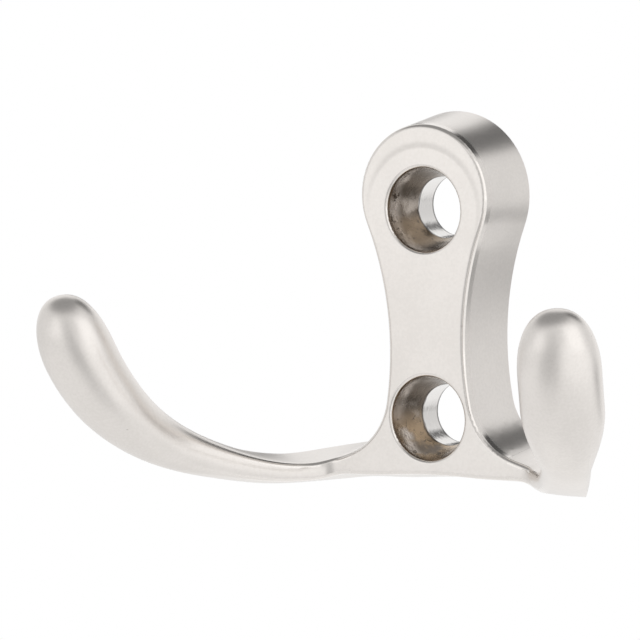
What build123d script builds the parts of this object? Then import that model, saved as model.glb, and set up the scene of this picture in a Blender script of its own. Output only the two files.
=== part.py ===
from build123d import *

import os
from math import atan2, cos, pi, radians, sin, sqrt, tan

os.makedirs("parts", exist_ok=True)

# Double wall hook: one zinc die casting, a drafted plate with two countersunk screw
# holes, whose foot runs out into a pair of arms that bend forward and up into bulbs.
#
# Lengths are millimetres and angles are degrees. The wall is the plane Y = 0 and the
# hook stands out of it toward -Y. Z is up. The origin is on the wall, midway between
# the two screw holes, and the hook is symmetric about X = 0.

# Plate. Its outline is stated on the front face; the draft widens it toward the wall.
PLATE_THICKNESS = 6.8
DRAFT_ANGLE = 7.5
HEAD_RADIUS = 6.95
HEAD_ABOVE_SCREW = 1.2
WAIST_HALF_WIDTH = 4.15
WAIST_Z = -3.1
FLARE_RADIUS = 6.6
FOOT_TOP_Z = -14.0
FOOT_BOTTOM_Z = -15.4
FOOT_DROP = 0.25
FOOT_LEVEL_X = 8.0
FRONT_EDGE_RADIUS = 0.45

# Screw holes, for 4 mm countersunk wood screws.
SCREW_SPACING = 20.0
SCREW_HOLE_RADIUS = 2.95
SINK_RADIUS = 4.14
SINK_DEPTH = 4.0
SINK_RIM_RADIUS = 0.35
CUTTER_OVERSHOOT = 1.0

# Arm. Its centre line leaves the plate square and level. It then bends forward and bows
# on, and it dips, sweeps up and lifts. Lengths are measured along it from ARM_START_X.
ARM_START_X = 8.75
ARM_LENGTH = 40.95
BEND_ANGLE = 52.7
BEND_END = 6.0
BOW_ANGLE = 12.9
DIP_ANGLE = -12.0
DIP_END = 3.1
SWEEP_ANGLE = 26.9
SWEEP_END = 15.7
LIFT_ANGLE = 60.7
LIFT_START = 13.2
LIFT_END = 43.6

# Arm sections: half height and half depth at the neck and at the bulb. The tip closes
# as a superellipse, a little blunter than the ellipse that a fullness of 2 gives.
NECK_HALF_HEIGHT = 0.83
NECK_HALF_DEPTH = 2.34
BULB_HALF_HEIGHT = 3.42
BULB_HALF_DEPTH = 3.91
TIP_LENGTH = 6.6
TIP_FULLNESS = 2.3

# Lengths along the arm where one shape begins to turn into the next, and where it ends.
TURN_END = 8.6
NECK_END = 12.3
HEIGHT_GROWS = (5.2, 35.7)
DEPTH_GROWS = (19.2, 30.4)
FRONT_EDGE_FADES = (0.0, 24.6)
BACK_EDGE_FADES = (4.1, 26.6)

# Section counts along the arm and over its round tip. The arm's sections are closest at
# the plate. The tip's are spaced by angle and stop just short of the pole, which leaves
# a flat of about 0.1 mm.
ARM_SECTIONS = 16
ARM_SPACING_POWER = 1.5
TIP_SECTIONS = 7
TIP_LAST_ANGLE = 89.5
CENTRE_LINE_STEPS = 200

# Angles on the bulb's ellipse, from the depth axis, that the corners of the neck's
# section blend into.
FRONT_FACE_END = 25.0
FRONT_EDGE_END = 50.0
BACK_FACE_END = 45.0

draft = PLATE_THICKNESS * tan(radians(DRAFT_ANGLE))
head_z = SCREW_SPACING / 2 + HEAD_ABOVE_SCREW

# The waist arc touches the head circle and is narrowest at WAIST_Z.
waist_rise = head_z - WAIST_Z
waist_radius = (WAIST_HALF_WIDTH**2 + waist_rise**2 - HEAD_RADIUS**2) / (
    2 * (HEAD_RADIUS - WAIST_HALF_WIDTH)
)
waist_x = WAIST_HALF_WIDTH + waist_radius

# The flare arc lies inside the waist arc, touches it, and ends level on the foot.
flare_z = FOOT_TOP_Z + FLARE_RADIUS
flare_x = waist_x - sqrt((waist_radius - FLARE_RADIUS) ** 2 - (WAIST_Z - flare_z) ** 2)

# The foot's underside drops from mid-foot to FOOT_LEVEL_X, by two arcs that touch.
level_z = FOOT_BOTTOM_Z - FOOT_DROP
drop_radius = (FOOT_LEVEL_X**2 + FOOT_DROP**2) / (4 * FOOT_DROP)


def smooth_step(t, start, end):
    """0 before start, 1 after end, and 3u^2 - 2u^3 between them."""
    u = min(max((t - start) / (end - start), 0.0), 1.0)
    return u * u * (3 - 2 * u)


def arm_angles(length):
    """The centre line's heading forward and its slope, in radians."""
    heading = BEND_ANGLE * smooth_step(length, 0, BEND_END)
    heading += BOW_ANGLE * smooth_step(length, 0, ARM_LENGTH)
    slope = DIP_ANGLE * smooth_step(length, 0, DIP_END)
    slope += SWEEP_ANGLE * smooth_step(length, 0, SWEEP_END)
    slope += LIFT_ANGLE * smooth_step(length, LIFT_START, LIFT_END)
    return radians(heading), radians(slope)


def arm_point(length):
    """The centre line's point, summed over short steps along its two angles."""
    point = Vector(ARM_START_X, -PLATE_THICKNESS / 2, (FOOT_TOP_Z + level_z) / 2)
    step = length / CENTRE_LINE_STEPS
    for k in range(CENTRE_LINE_STEPS):
        heading, slope = arm_angles((k + 0.5) * step)
        point += Vector(cos(heading) * cos(slope), -sin(heading) * cos(slope), sin(slope)) * step
    return point


def neck_outline(depth, top, bottom, corner):
    """Control points of the neck's section: round front corners and drafted sides."""
    side = Vector(cos(radians(DRAFT_ANGLE)), sin(radians(DRAFT_ANGLE)))
    turn = pi / 2 - radians(DRAFT_ANGLE)
    trim = corner * tan(turn / 2)
    reach = corner * 4 / 3 * tan(turn / 4)
    rise = 2 * depth * tan(radians(DRAFT_ANGLE))
    nodes = [
        Vector(-depth, trim - bottom),
        Vector(-depth, top - trim),
        Vector(-depth, top) + side * trim,
        Vector(depth, top + rise),
        Vector(depth, -bottom - rise),
        Vector(-depth, -bottom) + Vector(side.X, -side.Y) * trim,
    ]
    curves = [[a, a + (b - a) / 3, b - (b - a) / 3, b] for a, b in zip(nodes, nodes[1:] + nodes[:1])]
    curves[1][1:3] = [nodes[1] + Vector(0, reach), nodes[2] - side * reach]
    curves[5][1:3] = [nodes[5] - Vector(side.X, -side.Y) * reach, nodes[0] - Vector(0, reach)]
    return curves


def bulb_outline(depth, height):
    """Control points of the bulb's section, an ellipse cut at the neck's corners."""
    cuts = [180 + FRONT_FACE_END, 180 - FRONT_FACE_END, 180 - FRONT_EDGE_END, BACK_FACE_END]
    cuts += [-BACK_FACE_END, FRONT_EDGE_END - 180, FRONT_FACE_END - 180]
    curves = []
    for first, last in zip(cuts, cuts[1:]):
        reach = 4 / 3 * tan(radians(last - first) / 4)
        ends = []
        for angle in (radians(first), radians(last)):
            point = Vector(depth * cos(angle), height * sin(angle))
            along = Vector(-depth * sin(angle), height * cos(angle)) * reach
            ends.append((point, along))
        (a, out_of_a), (b, out_of_b) = ends
        curves.append([a, a + out_of_a, b - out_of_b, b])
    return curves


def arm_section(length):
    """The face of the arm's section at a length along its centre line."""
    centre = arm_point(length)
    tip = max((length - ARM_LENGTH) / TIP_LENGTH + 1, 0.0)
    taper = (1 - tip**TIP_FULLNESS) ** (1 / TIP_FULLNESS)

    height = (FOOT_TOP_Z - level_z) / 2
    height += (NECK_HALF_HEIGHT - height) * smooth_step(length, 0, NECK_END)
    height += (BULB_HALF_HEIGHT - NECK_HALF_HEIGHT) * smooth_step(length, *HEIGHT_GROWS)
    depth = PLATE_THICKNESS / 2
    depth += (NECK_HALF_DEPTH - depth) * smooth_step(length, 0, TURN_END)
    depth += (BULB_HALF_DEPTH - NECK_HALF_DEPTH) * smooth_step(length, *DEPTH_GROWS)

    # The rest of the plate's flare arc, above the foot.
    flare_left = max(flare_x - centre.X, 0.0)
    flare = FLARE_RADIUS - sqrt(FLARE_RADIUS**2 - flare_left**2)

    neck = neck_outline(
        depth * taper,
        height * taper + flare,
        height * taper,
        FRONT_EDGE_RADIUS * taper,
    )
    bulb = bulb_outline(depth * taper, height * taper)
    front = smooth_step(length, *FRONT_EDGE_FADES)
    back = smooth_step(length, *BACK_EDGE_FADES)
    shares = [[front] * 4, [front] * 4, [front, front, back, back]]
    shares += [[back] * 4, [back, back, front, front], [front] * 4]

    # Against the plate the section is square to X. It turns to be square to the arm.
    heading, slope = arm_angles(length)
    heading += radians(BEND_ANGLE) * (smooth_step(length, 0, TURN_END) - smooth_step(length, 0, BEND_END))
    slope *= smooth_step(length, 0, NECK_END)
    along = Vector(cos(heading) * cos(slope), -sin(heading) * cos(slope), sin(slope))
    plane = Plane(origin=centre, x_dir=(sin(heading), cos(heading), 0), z_dir=along)
    edges = []
    for neck_curve, bulb_curve, share in zip(neck, bulb, shares):
        blend = [a * (1 - s) + b * s for a, b, s in zip(neck_curve, bulb_curve, share)]
        edges.append(Edge.make_bezier(*[plane.from_local_coords(point) for point in blend]))
    return Face(Wire(edges))


tip_start = ARM_LENGTH - TIP_LENGTH
section_lengths = [
    (k / ARM_SECTIONS) ** ARM_SPACING_POWER * tip_start for k in range(1, ARM_SECTIONS + 1)
]
tip_angles = [radians(TIP_LAST_ANGLE) * k / TIP_SECTIONS for k in range(1, TIP_SECTIONS + 1)]
section_lengths += [
    tip_start + TIP_LENGTH * sin(angle) ** (2 / TIP_FULLNESS) for angle in tip_angles
]
arm_sections = [arm_section(length) for length in section_lengths]


with BuildPart() as double_hook:
    # Plate: half its outline on the wall, mirrored, then drafted toward the front.
    with BuildSketch(Plane.XZ) as plate_outline:
        with BuildLine() as half_outline:
            to_waist = atan2(WAIST_Z - head_z, waist_x)
            to_flare = atan2(flare_z - WAIST_Z, flare_x - waist_x)
            head_radius = HEAD_RADIUS + draft
            head_end = Vector(0, head_z) + Vector(cos(to_waist), sin(to_waist)) * head_radius
            waist_end = Vector(waist_x, WAIST_Z) + Vector(cos(to_flare), sin(to_flare)) * (
                waist_radius - draft
            )
            flare_end = Vector(flare_x, FOOT_TOP_Z + draft)
            foot_end = Vector(flare_x, level_z - draft)
            level_end = Vector(FOOT_LEVEL_X, level_z - draft)
            drop_middle = Vector(FOOT_LEVEL_X, 2 * FOOT_BOTTOM_Z - FOOT_DROP) / 2
            drop_middle -= Vector(FOOT_LEVEL_X, 2 * drop_radius - FOOT_DROP) * draft / (2 * drop_radius)
            RadiusArc((0, head_z + head_radius), head_end, head_radius)
            RadiusArc(head_end, waist_end, draft - waist_radius)
            RadiusArc(waist_end, flare_end, draft - FLARE_RADIUS)
            Line(flare_end, foot_end)
            Line(foot_end, level_end)
            RadiusArc(level_end, drop_middle, drop_radius + draft)
            RadiusArc(drop_middle, (0, FOOT_BOTTOM_Z - draft), draft - drop_radius)
            mirror(half_outline.line, about=Plane.YZ)
        make_face()
    extrude(amount=PLATE_THICKNESS, taper=DRAFT_ANGLE)
    front = faces().sort_by(Axis.Y)[0]
    fillet(front.edges().filter_by(Axis.Z, reverse=True), FRONT_EDGE_RADIUS)
    split(bisect_by=Plane.YZ.offset(ARM_START_X), keep=Keep.BOTTOM)
    split(bisect_by=Plane.YZ.offset(-ARM_START_X), keep=Keep.TOP)

    # Screw holes: a straight bore from the wall and a cone from there to the front.
    for z in (SCREW_SPACING / 2, -SCREW_SPACING / 2):
        with BuildSketch(Plane.XY.offset(z)):
            with BuildLine():
                Polyline(
                    (0, CUTTER_OVERSHOOT),
                    (SCREW_HOLE_RADIUS, CUTTER_OVERSHOOT),
                    (SCREW_HOLE_RADIUS, SINK_DEPTH - PLATE_THICKNESS),
                    (SINK_RADIUS, -PLATE_THICKNESS),
                    (SINK_RADIUS, -PLATE_THICKNESS - CUTTER_OVERSHOOT),
                    (0, -PLATE_THICKNESS - CUTTER_OVERSHOOT),
                    close=True,
                )
            make_face()
        revolve(axis=Axis((0, 0, z), (0, 1, 0)), mode=Mode.SUBTRACT)
    rims = edges().filter_by(GeomType.CIRCLE).filter_by(lambda rim: abs(rim.radius - SINK_RADIUS) < 0.001)
    fillet(rims, SINK_RIM_RADIUS)

    # Arms: lofted from the foot's end face to the tip, and mirrored.
    foot_end_face = faces().sort_by(Axis.X)[-1]
    arm = loft(sections=[foot_end_face] + arm_sections)
    mirror(arm, about=Plane.YZ)

double_hook.part.label = "double_hook"
export_step(double_hook.part, "parts/double_hook.step")
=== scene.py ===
import math

import bmesh
import bpy
import numpy as np
from mathutils import Matrix, Vector


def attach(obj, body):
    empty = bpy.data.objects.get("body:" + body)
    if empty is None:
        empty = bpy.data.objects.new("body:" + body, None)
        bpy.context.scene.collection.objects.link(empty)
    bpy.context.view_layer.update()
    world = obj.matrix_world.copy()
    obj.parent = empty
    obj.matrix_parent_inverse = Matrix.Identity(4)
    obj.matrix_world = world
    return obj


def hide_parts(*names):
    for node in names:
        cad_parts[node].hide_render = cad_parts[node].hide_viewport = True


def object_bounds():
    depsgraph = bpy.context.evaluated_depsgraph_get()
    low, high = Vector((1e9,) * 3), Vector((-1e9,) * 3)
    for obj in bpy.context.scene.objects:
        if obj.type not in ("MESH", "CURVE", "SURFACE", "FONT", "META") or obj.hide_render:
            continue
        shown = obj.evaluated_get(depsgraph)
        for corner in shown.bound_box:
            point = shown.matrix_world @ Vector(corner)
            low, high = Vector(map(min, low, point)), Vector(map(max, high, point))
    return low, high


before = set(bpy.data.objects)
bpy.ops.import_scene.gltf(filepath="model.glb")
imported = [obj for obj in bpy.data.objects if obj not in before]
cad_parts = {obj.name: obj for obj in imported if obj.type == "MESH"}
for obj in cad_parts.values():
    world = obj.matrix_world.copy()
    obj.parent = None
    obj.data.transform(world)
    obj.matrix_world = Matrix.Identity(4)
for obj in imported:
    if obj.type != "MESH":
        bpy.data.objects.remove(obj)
cad_low, cad_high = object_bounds()

# Lengths are metres and angles are degrees, in the hook's own frame: the wall is Y = 0,
# the room is toward -Y, and Z is up.
MM = 0.001

# The camera.
CAMERA_AZIMUTH = 32.35
CAMERA_ELEVATION = 4.72
CAMERA_ROLL = -1.29
CAMERA_DISTANCE = 0.7355
CAMERA_TARGET = Vector((-0.013967, -0.0035, -0.001161))
CAMERA_LENS = 427.05
CAMERA_CLIP = (0.01, 20.0)
SENSOR_WIDTH = 36.0

# The floor: its colour, how far it lies under the hook, its half size, and the radii
# between which its surface, which takes the hook's shadow, turns into the white background.
FLOOR_COLOUR = (0.92, 0.92, 0.92, 1)
FLOOR_DROP = 0.045
FLOOR_HALF_SIZE = 4.0
SHADOW_RADII = (0.14, 0.2)

# The two soft panels beside the camera: azimuth, elevation, distance, width, height and
# radiance.
RIGHT_PANEL = (79.0, 19.0, 0.8, 0.85, 0.75, 0.38)
LEFT_PANEL = (-24.0, 7.0, 0.8, 0.42, 0.45, 0.26)

# The room that metal mirrors. Each area is its azimuth and elevation, the angles from
# there at which it starts to fade and has faded, and its level; 1 is white.
ROOM_LEVEL = 0.77
ROOM_AREAS = {
    "behind_left": (-157.0, 12.0, 20.0, 55.0, 0.98),
    "camera_side": (14.0, 10.0, 3.0, 21.0, 0.62),
    "ceiling": (-62.0, 77.0, 30.0, 51.0, 0.29),
    "dark_screen": (168.0, 45.0, 11.0, 22.0, 0.07),
    "dark_gap": (-152.0, 9.0, 4.0, 9.0, 0.12),
}

# The floor that metal mirrors. Each sector is its azimuth, the angles from there at which
# it starts to fade and has faded, the distances between which it grows, and its change.
# These sectors paint light and shade on the glowing floor that metal sees: lighter toward the
# panels, darker on the camera's side, with a painted shadow behind right.
FLOOR_LEVEL = 0.95
FLOOR_SECTORS = {
    "front": (0.0, 110.0, 150.0, 0.01, 0.035, -0.08),
    "behind": (180.0, 30.0, 70.0, 0.06, 0.12, -0.1),
    "far_left": (-90.0, 60.0, 100.0, 0.12, 0.25, -0.1),
    "behind_left": (-160.0, 25.0, 50.0, 0.01, 0.05, 0.16),
    "camera_side": (13.0, 5.0, 30.0, 0.04, 0.12, -0.33),
    "front_left": (-28.0, 15.0, 40.0, 0.25, 0.6, 0.24),
    "right": (76.0, 26.0, 46.0, 0.07, 0.14, 0.3),
    "behind_right": (138.0, 6.0, 17.0, 0.125, 0.155, -0.46),
    "far_behind_right": (138.0, 6.0, 17.0, 0.16, 0.42, 0.34),
}

# Plate: the parts of its form that the surface finish follows. The seat is the round of
# the face about the upper screw hole, which lies a little lower than the rest.
PLATE_THICKNESS = 6.8 * MM
SINK_DEPTH = 4.0 * MM
SINK_BOTTOM_Y = SINK_DEPTH - PLATE_THICKNESS
SCREW_Z = 10.0 * MM
HOLE_MOUTH_RADIUS = 4.6 * MM
BORE_RADIUS = 2.95 * MM
SEAT_RADIUS = 5.85 * MM
SEAT_STEP_WIDTH = 1.05 * MM
SEAT_DEPTH = 0.07 * MM

# Arms: the same sizes and lengths along the centre line as the solid's.
DRAFT_ANGLE = 7.5
FOOT_TOP_Z = -14.0 * MM
FOOT_LEVEL_Z = -15.65 * MM
FLARE_RADIUS = 6.6 * MM
FLARE_X = 11.132 * MM
CORNER_RADIUS = 0.45 * MM
ARM_START_X = 8.75 * MM
ARM_LENGTH = 40.95 * MM
BEND_ANGLE = 52.7
BEND_END = 6.0 * MM
BOW_ANGLE = 12.9
DIP_ANGLE = -12.0
DIP_END = 3.1 * MM
SWEEP_ANGLE = 26.9
SWEEP_END = 15.7 * MM
LIFT_ANGLE = 60.7
LIFT_START = 13.2 * MM
LIFT_END = 43.6 * MM
NECK_HALF_HEIGHT = 0.83 * MM
NECK_HALF_DEPTH = 2.34 * MM
BULB_HALF_HEIGHT = 3.42 * MM
BULB_HALF_DEPTH = 3.91 * MM
TIP_LENGTH = 6.6 * MM
TIP_FULLNESS = 2.3
TURN_END = 8.6 * MM
NECK_END = 12.3 * MM
HEIGHT_GROWS = (5.2 * MM, 35.7 * MM)
DEPTH_GROWS = (19.2 * MM, 30.4 * MM)
FRONT_EDGE_FADES = (0.0, 24.6 * MM)
BACK_EDGE_FADES = (4.1 * MM, 26.6 * MM)

# Angles on the bulb's ellipse where its six curves meet, and how many faces each gets.
BULB_CUTS = (205.0, 155.0, 130.0, 45.0, -45.0, -130.0, -155.0)
CURVE_FACES = (10, 8, 14, 12, 14, 8)
FRONT_CORNERS = (1, 5)
BACK_CORNERS = (3, 4)

# The arm's grid: rows of points before and on the tip, how they crowd toward the plate,
# and the steps by which the centre line is added up.
ARM_ROWS = 150
TIP_ROWS = 30
ROW_CROWDING = 1.25
CENTRE_LINE_STEPS = 4000

# Shading: the turn at which an edge is sharp, the distance at which points are one, the
# step that gives the arm's normals at the plate, how near and how alike they are used, and
# the least area and length that are divided by.
SHARP_ANGLE = 32
WELD_DISTANCE = 0.001 * MM
JOIN_STEP = 0.002 * MM
JOIN_REACH = 0.4 * MM
JOIN_LIKENESS = 0.9
LEAST_AREA = 1e-20
LEAST_LENGTH = 1e-12

# The satin nickel's colours, among them thinner plate, painted shade and a golden tint inside the
# holes.
NICKEL_DULL = (0.833, 0.795, 0.758, 1)
NICKEL_BRIGHT = (0.880, 0.840, 0.803, 1)
PIT_COLOUR = (0.5, 0.47, 0.44, 1)
THIN_NICKEL = (0.80, 0.73, 0.665, 1)
# Painted shade deep in the holes, together with the thinner plate there.
BARE_ZINC_AND_SHADE = (0.225, 0.188, 0.155, 1)
GOLDEN_TINT = (0.54, 0.41, 0.28, 1)
SCRATCH_COLOUR = (0.2, 0.165, 0.135, 1)
BORE_NICKEL = (0.80, 0.78, 0.76, 1)
# Painted shade at the seam of each hole and at the back of its bore.
HOLE_SEAM_SHADE = (0.09, 0.08, 0.075, 1)

# How fine the finish is: noise scales in features per metre.
CLOUD_SCALE = 220.0
STAIN_SCALE = 430.0
PIT_SCALE = 1100.0
SCRATCH_SCALE = 1500.0
GRAIN_SCALE = 3600.0

# Roughness, and the lengths over which the polished edge of an arm turns satin.
PLATE_ROUGHNESS = (0.285, 0.3)
BULB_EXTRA_ROUGHNESS = 0.055
EDGE_ROUGHNESS = 0.16
SINK_ROUGHNESS = (0.18, 0.32)
BORE_ROUGHNESS = 0.12
SHINE_FADES = (7.0 * MM, 18.0 * MM)

# Where the finish changes inside the holes: at the mouth, where the plate thins and painted shade
# deepens with depth, across the side painted lighter, where it turns golden, and at the painted
# shade where the sink meets the bore and at the back.
MOUTH_SOFTNESS = 0.1 * MM
MOUTH_DEPTHS = (0.15 * MM, 0.5 * MM)
THIN_AND_SHADE_DEPTHS = (0.2 * MM, 2.2 * MM)
PAINTED_LIGHT_SIDE_X = (-3.7 * MM, -1.6 * MM)
LOW_GOLD_Z = (-9 * MM, -11.5 * MM)
HIGH_GOLD_START_Z = (6 * MM, 7 * MM)
HIGH_GOLD_END_Z = (9.6 * MM, 8.4 * MM)
SEAM_WANDER = 1.2 * MM
SEAM_WIDTHS = (0.05 * MM, 0.2 * MM)
BACK_SHADE_Y = (-0.3 * MM, -0.1 * MM)

# Where it changes outside them: the matter bulbs, the depths between which the plate's edge
# is polished, and where the seat's step fades.
MATTER_Y = (-8 * MM, -20 * MM)
POLISH_START_DEPTHS = (0.01 * MM, 0.05 * MM)
POLISH_END_DEPTHS = (1.1 * MM, 0.8 * MM)
SEAT_STEP_Z = (6 * MM, 9 * MM)
SEAT_STEP_DEPTHS = (0.5 * MM, 6.5 * MM)

# The small pits: the noise levels between which one darkens, and how much it does.
PIT_LEVELS = (0.235, 0.2)
PIT_SHARE = 0.5

# Heights of the finish's relief.
WAVE_HEIGHT = 0.008 * MM
GRAIN_HEIGHT = 0.0002 * MM
SCRATCH_HEIGHT = 0.02 * MM


def smooth_step(t, start, end):
    """0 before start, 1 after end, and 3u^2 - 2u^3 between them."""
    u = np.clip((t - start) / (end - start), 0.0, 1.0)
    return u * u * (3 - 2 * u)


def arm_angles(length):
    """The centre line's heading forward and its slope, in radians: sums of smooth steps."""
    heading = BEND_ANGLE * smooth_step(length, 0, BEND_END)
    heading += BOW_ANGLE * smooth_step(length, 0, ARM_LENGTH)
    slope = DIP_ANGLE * smooth_step(length, 0, DIP_END)
    slope += SWEEP_ANGLE * smooth_step(length, 0, SWEEP_END)
    slope += LIFT_ANGLE * smooth_step(length, LIFT_START, LIFT_END)
    return np.radians(heading), np.radians(slope)


def direction(heading, slope):
    """The unit vector of a heading toward -Y and a slope toward +Z."""
    level = np.cos(slope)
    return np.stack([np.cos(heading) * level, -np.sin(heading) * level, np.sin(slope)], -1)


def arm_points(lengths):
    """The centre line, the integral of its direction: P(s) = P(0) + sum of d(t) dt."""
    edges = np.linspace(0, ARM_LENGTH, CENTRE_LINE_STEPS + 1)
    steps = direction(*arm_angles((edges[1:] + edges[:-1]) / 2)) * (edges[1] - edges[0])
    start = np.array([ARM_START_X, -PLATE_THICKNESS / 2, (FOOT_TOP_Z + FOOT_LEVEL_Z) / 2])
    walk = start + np.vstack([np.zeros(3), np.cumsum(steps, axis=0)])
    return np.stack([np.interp(lengths, edges, walk[:, k]) for k in range(3)], -1)


def neck_curves(depth, top, back_top, bottom, corner):
    """Six cubic curves per section: round front corners, and sides at the draft angle."""
    side = math.radians(DRAFT_ANGLE)
    turn = math.pi / 2 - side
    trim = corner * math.tan(turn / 2)
    reach = corner * 4 / 3 * math.tan(turn / 4)
    rise = 2 * depth * math.tan(side)
    along, up = math.cos(side), math.sin(side)
    nodes = [
        (-depth, trim - bottom),
        (-depth, top - trim),
        (trim * along - depth, top + trim * up),
        (depth, back_top),
        (depth, -bottom - rise),
        (trim * along - depth, -bottom - trim * up),
    ]
    nodes = [np.stack(node, -1) for node in nodes]
    curves = [[a, a + (b - a) / 3, b - (b - a) / 3, b] for a, b in zip(nodes, nodes[1:] + nodes[:1])]
    upright = np.stack([0 * reach, reach], -1)
    leaning = np.stack([reach * along, reach * up], -1)
    curves[1][1:3] = [nodes[1] + upright, nodes[2] - leaning]
    curves[5][1:3] = [nodes[5] - leaning * (1, -1), nodes[0] - upright]
    return curves


def bulb_curves(depth, height):
    """The same six curves on an ellipse: (depth cos a, height sin a) between the cuts."""
    curves = []
    for first, last in zip(BULB_CUTS, BULB_CUTS[1:]):
        reach = 4 / 3 * math.tan(math.radians(last - first) / 4)
        ends = []
        for angle in (math.radians(first), math.radians(last)):
            point = np.stack([depth * math.cos(angle), height * math.sin(angle)], -1)
            along = np.stack([-depth * math.sin(angle), height * math.cos(angle)], -1) * reach
            ends.append((point, along))
        (a, out_of_a), (b, out_of_b) = ends
        curves.append([a, a + out_of_a, b - out_of_b, b])
    return curves


def section_points(curves):
    """Points round each section: (1-t)^3 A + 3t(1-t)^2 B + 3t^2(1-t) C + t^3 D per curve."""
    columns = []
    for (a, b, c, d), faces in zip(curves, CURVE_FACES):
        for t in np.arange(faces) / faces:
            u = 1 - t
            columns.append(u**3 * a + 3 * t * u**2 * b + 3 * t * t * u * c + t**3 * d)
    return np.stack(columns, 1)


def arm_surface(lengths):
    """Rings of points round the arm at lengths along it.

    Each ring is the neck's section (a drafted block with round front corners) blended
    into an ellipse, scaled by the superellipse (1 - t^n)^(1/n) over the tip."""
    centre = arm_points(lengths)
    tip = np.clip((lengths - ARM_LENGTH) / TIP_LENGTH + 1, 0.0, 1.0)
    taper = (1 - tip**TIP_FULLNESS) ** (1 / TIP_FULLNESS)

    foot = (FOOT_TOP_Z - FOOT_LEVEL_Z) / 2
    height = foot + (NECK_HALF_HEIGHT - foot) * smooth_step(lengths, 0, NECK_END)
    height += (BULB_HALF_HEIGHT - NECK_HALF_HEIGHT) * smooth_step(lengths, *HEIGHT_GROWS)
    plate = PLATE_THICKNESS / 2
    depth = plate + (NECK_HALF_DEPTH - plate) * smooth_step(lengths, 0, TURN_END)
    depth += (BULB_HALF_DEPTH - NECK_HALF_DEPTH) * smooth_step(lengths, *DEPTH_GROWS)
    flare_left = np.maximum(FLARE_X - centre[:, 0], 0.0)
    flare = FLARE_RADIUS - np.sqrt(FLARE_RADIUS**2 - flare_left**2)

    height = height * taper
    depth = depth * taper
    rise = 2 * depth * math.tan(math.radians(DRAFT_ANGLE))
    back_flare = FLARE_RADIUS - np.sqrt((FLARE_RADIUS - rise) ** 2 - flare_left**2)
    neck = neck_curves(depth, height + flare, height + back_flare, height, CORNER_RADIUS * taper)
    bulb = bulb_curves(depth, height)
    front = smooth_step(lengths, *FRONT_EDGE_FADES)[:, None]
    back = smooth_step(lengths, *BACK_EDGE_FADES)[:, None]
    shares = [[front] * 4, [front] * 4, [front, front, back, back]]
    shares += [[back] * 4, [back, back, front, front], [front] * 4]
    blend = [
        [a * (1 - share) + b * share for a, b, share in zip(*curves)]
        for curves in zip(neck, bulb, shares)
    ]
    flat = section_points(blend)

    heading, slope = arm_angles(lengths)
    turn = smooth_step(lengths, 0, TURN_END) - smooth_step(lengths, 0, BEND_END)
    heading = heading + math.radians(BEND_ANGLE) * turn
    slope = slope * smooth_step(lengths, 0, NECK_END)
    across = np.stack([np.sin(heading), np.cos(heading), 0 * heading], -1)
    upward = np.cross(direction(heading, slope), across)
    return centre[:, None] + flat[..., :1] * across[:, None] + flat[..., 1:] * upward[:, None]


def row_lengths():
    """The lengths along the arm at which its grid has a row of points."""
    tip_start = ARM_LENGTH - TIP_LENGTH
    body = (np.arange(ARM_ROWS) / ARM_ROWS) ** ROW_CROWDING * tip_start
    angles = np.arange(TIP_ROWS) / TIP_ROWS * math.pi / 2
    return np.concatenate([body, tip_start + TIP_LENGTH * np.sin(angles) ** (2 / TIP_FULLNESS)])


def arm_shine():
    """How far each point of an arm's grid lies on a polished front edge, from 0 to 1."""
    columns = np.zeros(sum(CURVE_FACES))
    for curve in FRONT_CORNERS:
        start = sum(CURVE_FACES[:curve])
        columns[start : start + CURVE_FACES[curve]] = 1
    rows = 1 - smooth_step(row_lengths(), *SHINE_FADES)
    return np.append(np.outer(rows, columns), 0)


def arm_mesh(name, mirrored):
    """One arm as a grid of quads closed by a fan at its tip, with its back edges sharp."""
    lengths = row_lengths()
    rings = arm_surface(lengths)
    rows, columns = rings.shape[:2]
    points = np.vstack([rings.reshape(-1, 3), arm_points(np.array([ARM_LENGTH]))])
    points = np.clip(points, cad_low, cad_high)
    index = np.arange(rows * columns).reshape(rows, columns)
    following = np.roll(index, -1, axis=1)
    quads = np.stack([index[:-1], following[:-1], following[1:], index[1:]], -1).reshape(-1, 4)
    fan = np.stack([index[-1], following[-1], np.full(columns, rows * columns)], -1)
    if mirrored:
        points[:, 0] *= -1
    else:
        quads = quads[:, ::-1]
        fan = fan[:, ::-1]
    mesh = bpy.data.meshes.new(name)
    mesh.from_pydata(points.tolist(), [], quads.tolist() + fan.tolist())
    mesh.polygons.foreach_set("use_smooth", [True] * len(mesh.polygons))

    corner_columns = [sum(CURVE_FACES[:k]) for k in BACK_CORNERS]
    faded_rows = int((lengths < BACK_EDGE_FADES[1]).sum())
    ends = np.empty(2 * len(mesh.edges), int)
    mesh.edges.foreach_get("vertices", ends)
    ends = ends.reshape(-1, 2)
    along = (ends % columns)[:, 0] == (ends % columns)[:, 1]
    on_corner = np.isin(ends[:, 0] % columns, corner_columns)
    unfaded = ends.max(1) < faded_rows * columns
    mesh.edges.foreach_set("use_edge_sharp", along & on_corner & unfaded)
    return mesh


def join_normals():
    """The arm surface's first ring and its normals there.

    The surface is r(s, k), with s the length along it and k the count round it, so its
    normal is the cross product of dr/ds and dr/dk."""
    ring, next_ring = arm_surface(np.array([0.0, JOIN_STEP]))
    around = np.roll(ring, -1, axis=0) - np.roll(ring, 1, axis=0)
    normals = np.cross(next_ring - ring, around)
    normals /= np.linalg.norm(normals, axis=1)[:, None]
    return ring, normals * np.sign((normals * (ring - ring.mean(0))).sum(1))[:, None]


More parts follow.
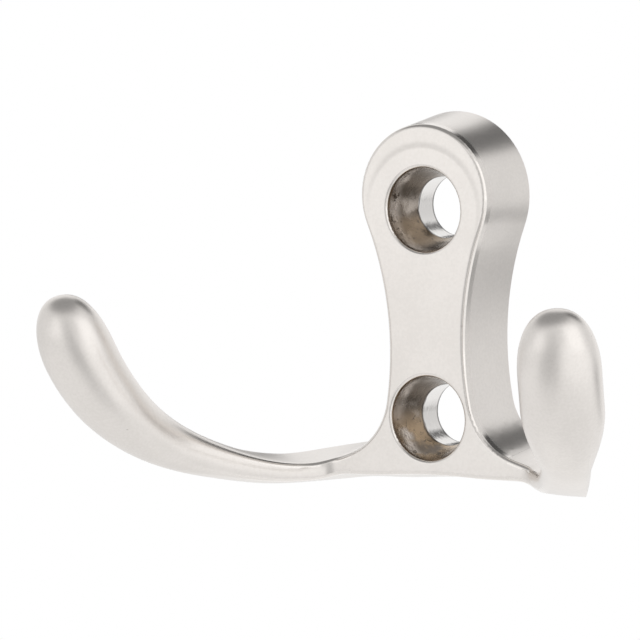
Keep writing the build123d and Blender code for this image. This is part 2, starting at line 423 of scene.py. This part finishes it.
def shade_plate(mesh, plate_faces):
    """Shades the plate so that its flat faces stay flat and it runs into the arms.

    A corner's normal is the mean, by area times corner angle, of the faces at its point
    that turn less than the sharp angle from its own. Where the plate meets an arm it is
    the arm surface's own normal."""
    points = np.array([vertex.co for vertex in mesh.vertices])
    faces = np.array([mesh.polygons[k].vertices for k in range(plate_faces)])
    corners = points[faces]
    onward = np.roll(corners, -1, axis=1) - corners
    across = np.cross(onward[:, 0], onward[:, 1])
    areas = np.linalg.norm(across, axis=1)
    facing = across / np.maximum(areas, LEAST_AREA)[:, None]
    lengths = np.maximum(np.linalg.norm(onward, axis=2), LEAST_LENGTH)
    along = onward / lengths[..., None]
    angles = np.arccos(np.clip(-(along * np.roll(along, 1, axis=1)).sum(2), -1, 1))
    faces_at = [[] for _ in points]
    for face, vertices in enumerate(faces):
        for corner, vertex in enumerate(vertices):
            faces_at[vertex].append((face, areas[face] * angles[face, corner]))
    ring, ring_normals = join_normals()
    normals = np.zeros((len(mesh.loops), 3))
    for face, vertices in enumerate(faces):
        for loop, vertex in zip(mesh.polygons[face].loop_indices, vertices):
            point = points[vertex]
            at_sink_bottom = abs(point[1] - SINK_BOTTOM_Y) < WELD_DISTANCE
            limit = SHARP_ANGLE / 2 if at_sink_bottom else SHARP_ANGLE
            near, weights = zip(*faces_at[vertex])
            near = facing[list(near)]
            smooth = near @ facing[face] > math.cos(math.radians(limit))
            mean = (near * (np.array(weights) * smooth)[:, None]).sum(0)
            mirror = (math.copysign(1, point[0]), 1, 1)
            if abs(abs(point[0]) - ARM_START_X) < WELD_DISTANCE:
                close = np.linalg.norm(ring - point * mirror, axis=1) < JOIN_REACH
                match = np.where(close, ring_normals @ (facing[face] * mirror), 0.0)
                if match.max() > JOIN_LIKENESS:
                    mean = ring_normals[match.argmax()] * mirror
            if np.linalg.norm(mean) > 0:
                normals[loop] = mean / np.linalg.norm(mean)
    mesh.normals_split_custom_set(normals.tolist())


def hook_casting(name, node):
    """The casting: the CAD plate merged and smoothed, with both arms as even grids."""
    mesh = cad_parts[node].data.copy()
    mesh.name = name
    shell = bmesh.new()
    shell.from_mesh(mesh)
    bmesh.ops.remove_doubles(shell, verts=shell.verts, dist=WELD_DISTANCE)
    join_x = ARM_START_X - JOIN_STEP
    arm_faces = [face for face in shell.faces if abs(face.calc_center_median().x) > join_x]
    bmesh.ops.delete(shell, geom=arm_faces, context="FACES")
    for face in shell.faces:
        face.smooth = True
    for edge in shell.edges:
        turn = edge.calc_face_angle(math.pi)
        off_bottom = max(abs(vertex.co.y - SINK_BOTTOM_Y) for vertex in edge.verts)
        edge.smooth = turn < math.radians(SHARP_ANGLE) and off_bottom >= WELD_DISTANCE
    shell.to_mesh(mesh)
    shell.free()
    plate_faces = len(mesh.polygons)
    shell = bmesh.new()
    shell.from_mesh(mesh)
    for side in ("right", "left"):
        shell.from_mesh(arm_mesh(side + "_arm", side == "left"))
    shell.to_mesh(mesh)
    shell.free()
    shade_plate(mesh, plate_faces)
    arms_shine = np.tile(arm_shine(), 2)
    shine = np.zeros(len(mesh.vertices))
    shine[-len(arms_shine) :] = arms_shine
    mesh.attributes.new("edge_shine", "FLOAT", "POINT").data.foreach_set("value", shine)
    casting = bpy.data.objects.new(name, mesh)
    bpy.context.scene.collection.objects.link(casting)
    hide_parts(node)
    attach(casting, "root")
    return casting


def toward(azimuth, elevation):
    """The unit vector at an azimuth and an elevation, 0 degrees being in front of the hook."""
    a = math.radians(azimuth)
    e = math.radians(elevation)
    return (math.sin(a) * math.cos(e), -math.cos(a) * math.cos(e), math.sin(e))


def aimed_matrix(azimuth, elevation, roll, distance, target):
    """The matrix of something that looks at a target from an azimuth and an elevation."""
    a = math.radians(azimuth)
    r = math.radians(roll)
    back = Vector(toward(azimuth, elevation))
    right = Vector((math.cos(a), math.sin(a), 0))
    up = back.cross(right)
    rolled_right = right * math.cos(r) + up * math.sin(r)
    rolled_up = up * math.cos(r) - right * math.sin(r)
    axes = Matrix((rolled_right, rolled_up, back)).transposed().to_4x4()
    return Matrix.Translation(target + back * distance) @ axes


def make_camera():
    """A long lens, a little above the hook and to its right."""
    data = bpy.data.cameras.new("camera")
    data.sensor_width = SENSOR_WIDTH
    data.lens = CAMERA_LENS
    data.clip_start, data.clip_end = CAMERA_CLIP
    camera = bpy.data.objects.new("camera", data)
    bpy.context.scene.collection.objects.link(camera)
    camera.matrix_world = aimed_matrix(
        CAMERA_AZIMUTH, CAMERA_ELEVATION, CAMERA_ROLL, CAMERA_DISTANCE, CAMERA_TARGET
    )
    bpy.context.scene.camera = camera


def make_panel(name, azimuth, elevation, distance, width, height, radiance):
    """A soft light panel aimed at the hook, out of the camera's sight."""
    data = bpy.data.lights.new(name, "AREA")
    data.shape = "RECTANGLE"
    data.size = width
    data.size_y = height
    data.energy = radiance * math.pi * width * height
    panel = bpy.data.objects.new(name, data)
    bpy.context.scene.collection.objects.link(panel)
    panel.matrix_world = aimed_matrix(azimuth, elevation, 0, distance, Vector((0, 0, 0)))
    panel.visible_camera = False


class Sketch:
    """Adds nodes to a node tree and links them, so that a formula reads in order."""

    def __init__(self, tree):
        self.tree = tree

    def node(self, kind, **settings):
        """A new shader node with its settings."""
        made = self.tree.nodes.new("ShaderNode" + kind)
        for name, value in settings.items():
            setattr(made, name, value)
        return made

    def put(self, socket, value):
        """Links an output to a socket, or sets a plain value on it."""
        if isinstance(value, bpy.types.NodeSocket):
            self.tree.links.new(value, socket)
        else:
            socket.default_value = value

    def math(self, operation, a, b=0.0):
        """One step of arithmetic on two values."""
        made = self.node("Math", operation=operation)
        self.put(made.inputs[0], a)
        self.put(made.inputs[1], b)
        return made.outputs[0]

    def dot(self, a, b):
        """The dot product of two vectors."""
        made = self.node("VectorMath", operation="DOT_PRODUCT")
        self.put(made.inputs[0], a)
        self.put(made.inputs[1], b)
        return made.outputs["Value"]

    def length(self, a, b):
        """The square root of a^2 + b^2."""
        squares = self.math("ADD", self.math("MULTIPLY", a, a), self.math("MULTIPLY", b, b))
        return self.math("SQRT", squares)

    def noise(self, place, scale, detail, distortion=0.0):
        """Cloudy noise, mostly from 0.3 to 0.7."""
        made = self.node("TexNoise")
        self.put(made.inputs["Vector"], place)
        self.put(made.inputs["Scale"], scale)
        self.put(made.inputs["Detail"], detail)
        self.put(made.inputs["Distortion"], distortion)
        return made.outputs["Fac"]

    def ramp(self, value, start, end, low=0.0, high=1.0):
        """Eases from low at start to high at end."""
        made = self.node("MapRange", interpolation_type="SMOOTHSTEP")
        for socket, setting in zip(made.inputs, (value, start, end, low, high)):
            self.put(socket, setting)
        return made.outputs[0]

    def around(self, aim, azimuth, elevation, full, faded):
        """1 where aim is within the angle full of a direction, easing to 0 at faded."""
        near = self.dot(aim, toward(azimuth, elevation))
        return self.ramp(near, math.cos(math.radians(faded)), math.cos(math.radians(full)))

    def mix(self, share, a, b):
        """The value a at share 0, and b at share 1."""
        made = self.node("Mix")
        self.put(made.inputs["Factor"], share)
        self.put(made.inputs["A"], a)
        self.put(made.inputs["B"], b)
        return made.outputs[0]

    def tint(self, share, a, b):
        """The colour a at share 0, and b at share 1."""
        made = self.node("Mix", data_type="RGBA")
        self.put(made.inputs[0], share)
        self.put(made.inputs[6], a)
        self.put(made.inputs[7], b)
        return made.outputs[2]


def make_world():
    """A white room: plain white to the eye and to matt surfaces. Metal mirrors a studio of
    pale and dark areas, each laid over those before it."""
    world = bpy.data.worlds.new("room")
    bpy.context.scene.world = world
    world.use_nodes = True
    s = Sketch(world.node_tree)
    sky = s.node("TexCoord").outputs["Generated"]
    studio = ROOM_LEVEL
    for azimuth, elevation, *fade, level in ROOM_AREAS.values():
        studio = s.mix(s.around(sky, azimuth, elevation, *fade), studio, level)
    path = s.node("LightPath")
    background = world.node_tree.nodes["Background"]
    s.put(background.inputs["Color"], (1, 1, 1, 1))
    s.put(background.inputs["Strength"], s.mix(path.outputs["Is Glossy Ray"], 1.0, studio))


def make_floor():
    """A plain pale floor. It takes the hook's shadow and runs out into the white
    background. To metal it glows, with painted light and shade in sectors, whose changes are added
    up."""
    z = cad_low.z - FLOOR_DROP
    h = FLOOR_HALF_SIZE
    mesh = bpy.data.meshes.new("floor")
    mesh.from_pydata([(-h, -h, z), (h, -h, z), (h, h, z), (-h, h, z)], [], [(0, 1, 2, 3)])
    material = bpy.data.materials.new("floor")
    material.use_nodes = True
    s = Sketch(material.node_tree)
    shader = material.node_tree.nodes["Principled BSDF"]
    output = material.node_tree.nodes["Material Output"]
    s.put(shader.inputs["Base Color"], FLOOR_COLOUR)
    s.put(shader.inputs["Roughness"], 1.0)
    s.put(shader.inputs["Specular IOR Level"], 0.0)
    place = s.node("TexCoord").outputs["Object"]
    level = s.node("VectorMath", operation="MULTIPLY")
    s.put(level.inputs[0], place)
    s.put(level.inputs[1], (1, 1, 0))
    outward = s.node("VectorMath", operation="LENGTH")
    s.put(outward.inputs[0], level.outputs[0])
    far = s.ramp(outward.outputs["Value"], *SHADOW_RADII)
    bearing = s.node("VectorMath", operation="NORMALIZE")
    s.put(bearing.inputs[0], level.outputs[0])
    mirrored = FLOOR_LEVEL
    # Painted light and shade in the floor as metal sees it.
    for azimuth, full, faded, start, end, change in FLOOR_SECTORS.values():
        sector = s.around(bearing.outputs[0], azimuth, 0, full, faded)
        grown = s.ramp(outward.outputs["Value"], start, end, 0.0, change)
        mirrored = s.math("ADD", mirrored, s.math("MULTIPLY", sector, grown))
    mirrored = s.math("MINIMUM", mirrored, 1.0)
    path = s.node("LightPath")
    glossy = path.outputs["Is Glossy Ray"]
    emission = s.node("Emission")
    s.put(emission.inputs["Strength"], s.mix(glossy, 1.0, mirrored))
    seen_far = s.math("MULTIPLY", path.outputs["Is Camera Ray"], far)
    seen_in = s.math("MAXIMUM", glossy, path.outputs["Is Transmission Ray"])
    share = s.math("MAXIMUM", seen_far, seen_in)
    blend = s.node("MixShader")
    s.put(blend.inputs[0], share)
    s.put(blend.inputs[1], shader.outputs[0])
    s.put(blend.inputs[2], emission.outputs[0])
    s.put(output.inputs["Surface"], blend.outputs[0])
    mesh.materials.append(material)
    floor = bpy.data.objects.new("floor", mesh)
    bpy.context.scene.collection.objects.link(floor)


def hole_shares(s, x, z, depth):
    """How far a place is in a screw hole, and how far in its straight bore, from 0 to 1.

    Both holes fold onto one by taking |z|."""
    off_axis = s.length(x, s.math("SUBTRACT", s.math("ABSOLUTE", z), SCREW_Z))
    in_mouth = s.ramp(off_axis, HOLE_MOUTH_RADIUS, HOLE_MOUTH_RADIUS - MOUTH_SOFTNESS)
    in_mouth = s.math("MULTIPLY", in_mouth, s.ramp(depth, *MOUTH_DEPTHS))
    past_sink = s.ramp(depth, SINK_DEPTH - 0.05 * MM, SINK_DEPTH + 0.1 * MM)
    by_bore = s.ramp(off_axis, BORE_RADIUS + 0.06 * MM, BORE_RADIUS + 0.02 * MM)
    in_bore = s.math("MULTIPLY", past_sink, by_bore)
    return s.mix(past_sink, in_mouth, in_bore), in_bore


def nickel_colour(s, place, cloud, grain):
    """Warm nickel, softly uneven, with a few small pits."""
    worn = s.mix(0.55, cloud, grain)
    nickel = s.tint(s.ramp(worn, 0.35, 0.65), NICKEL_DULL, NICKEL_BRIGHT)
    pit = s.ramp(s.noise(place, PIT_SCALE, 2.0), *PIT_LEVELS)
    return s.tint(s.math("MULTIPLY", pit, PIT_SHARE), nickel, PIT_COLOUR)


def hole_colour(s, x, y, z, stain, scratch, in_bore):
    """The screw holes: plate that thins with depth, with painted shade deepening with it, a left
    side painted lighter, mottled, golden in places, scratched, and painted shade where the sink
    meets the bore and at the back. The bore is bright."""
    depth = s.math("ADD", y, PLATE_THICKNESS)
    # Darker with depth: thinner plate, and painted shade deep in the hole.
    thin_and_shade = s.math("ADD", s.ramp(depth, *THIN_AND_SHADE_DEPTHS), s.ramp(stain, 0.35, 0.65, -0.2, 0.3))
    # Painted light: each hole's left side lighter, its right side a little darker.
    thin_and_shade = s.math("ADD", thin_and_shade, s.ramp(x, *PAINTED_LIGHT_SIDE_X, -0.6, 0.1))
    colour = s.tint(s.ramp(thin_and_shade, 0.0, 0.75), THIN_NICKEL, BARE_ZINC_AND_SHADE)

    # A golden tint low in the lower hole and high in the upper one.
    low_gold = s.math("MULTIPLY", s.ramp(z, *LOW_GOLD_Z), s.ramp(stain, 0.35, 0.55))
    high_gold = s.ramp(z, *HIGH_GOLD_START_Z, 0.0, 0.45)
    high_gold = s.math("MULTIPLY", s.ramp(z, *HIGH_GOLD_END_Z), high_gold)
    colour = s.tint(s.math("MAXIMUM", low_gold, high_gold), colour, GOLDEN_TINT)
    colour = s.tint(s.ramp(scratch, 0.6, 0.68), colour, SCRATCH_COLOUR)
    colour = s.tint(in_bore, colour, BORE_NICKEL)

    # Painted shade: a wandering dark band where the sink meets the bore, and darkness at the back of
    # the bore.
    uneven = s.math("MULTIPLY", s.math("SUBTRACT", stain, 0.5), SEAM_WANDER)
    from_seam = s.math("SUBTRACT", s.math("ADD", depth, uneven), SINK_DEPTH)
    at_seam = s.ramp(s.math("ABSOLUTE", from_seam), *SEAM_WIDTHS, 0.75, 0.0)
    at_back = s.ramp(y, *BACK_SHADE_Y, 0.0, 0.75)
    return s.tint(s.math("MAXIMUM", at_seam, at_back), colour, HOLE_SEAM_SHADE)


def nickel_roughness(s, x, y, depth, grain):
    """Tumbling polishes the rounded edges, and leaves the bulbs a little matter."""
    matter = s.ramp(y, *MATTER_Y, 0.0, BULB_EXTRA_ROUGHNESS)
    rough = s.math("ADD", s.ramp(grain, 0.2, 0.8, *PLATE_ROUGHNESS), matter)
    on_edge = s.ramp(depth, *POLISH_END_DEPTHS)
    on_edge = s.math("MULTIPLY", s.ramp(depth, *POLISH_START_DEPTHS), on_edge)
    on_plate = s.ramp(s.math("ABSOLUTE", x), ARM_START_X + 0.1 * MM, ARM_START_X)
    shine = s.node("Attribute", attribute_name="edge_shine").outputs["Fac"]
    polish = s.math("MAXIMUM", s.math("MULTIPLY", on_edge, on_plate), shine)
    return s.mix(polish, rough, EDGE_ROUGHNESS)


def seat_height(s, x, z, depth):
    """The face round the upper screw hole lies lower, with a soft step (1 - u^2) at its rim.
    The step fades toward the waist, and toward the back."""
    off_screw = s.length(x, s.math("SUBTRACT", z, SCREW_Z))
    sunk = s.ramp(off_screw, SEAT_RADIUS, SEAT_RADIUS + SEAT_STEP_WIDTH, 1.0, 0.0)
    raised = s.math("SUBTRACT", 1.0, s.math("MULTIPLY", sunk, sunk))
    raised = s.math("MULTIPLY", raised, s.ramp(z, *SEAT_STEP_Z))
    return s.math("MULTIPLY", raised, s.ramp(depth, *SEAT_STEP_DEPTHS, SEAT_DEPTH, 0.0))


def satin_nickel():
    """Satin nickel plate on a zinc casting: pale, warm and softly uneven, with thinner, duller plate
    inside the screw holes, where shade and light are also painted."""
    material = bpy.data.materials.new("satin_nickel")
    material.use_nodes = True
    s = Sketch(material.node_tree)
    shader = material.node_tree.nodes["Principled BSDF"]
    place = s.node("TexCoord").outputs["Object"]
    parts = s.node("SeparateXYZ")
    s.put(parts.inputs[0], place)
    x, y, z = parts.outputs
    depth = s.math("ADD", y, PLATE_THICKNESS)
    in_hole, in_bore = hole_shares(s, x, z, depth)

    cloud = s.noise(place, CLOUD_SCALE, 3.0)
    grain = s.noise(place, GRAIN_SCALE, 2.0)
    stain = s.noise(place, STAIN_SCALE, 3.0)
    scratch = s.noise(place, SCRATCH_SCALE, 4.0, 1.2)

    nickel = nickel_colour(s, place, cloud, grain)
    shaded_hole = hole_colour(s, x, y, z, stain, scratch, in_bore)
    s.put(shader.inputs["Base Color"], s.tint(in_hole, nickel, shaded_hole))
    s.put(shader.inputs["Metallic"], 1.0)

    rough = nickel_roughness(s, x, y, depth, grain)
    hole_rough = s.mix(in_bore, s.ramp(stain, 0.3, 0.7, *SINK_ROUGHNESS), BORE_ROUGHNESS)
    s.put(shader.inputs["Roughness"], s.mix(in_hole, rough, hole_rough))

    waves = s.math("MULTIPLY", cloud, WAVE_HEIGHT)
    tooth = s.math("MULTIPLY", grain, GRAIN_HEIGHT)
    marks = s.math("MULTIPLY", s.math("MULTIPLY", scratch, in_hole), SCRATCH_HEIGHT)
    large = s.math("ADD", seat_height(s, x, z, depth), waves)
    bump = s.node("Bump")
    s.put(bump.inputs["Strength"], 1.0)
    s.put(bump.inputs["Distance"], 1.0)
    s.put(bump.inputs["Height"], s.math("ADD", large, s.math("ADD", tooth, marks)))
    s.put(shader.inputs["Normal"], bump.outputs[0])
    return material


bpy.context.scene.view_settings.view_transform = "Standard"
make_camera()
make_world()
make_floor()
make_panel("right_panel", *RIGHT_PANEL)
make_panel("left_panel", *LEFT_PANEL)
casting = hook_casting("hook_casting", "double_hook")
casting.data.materials.clear()
casting.data.materials.append(satin_nickel())
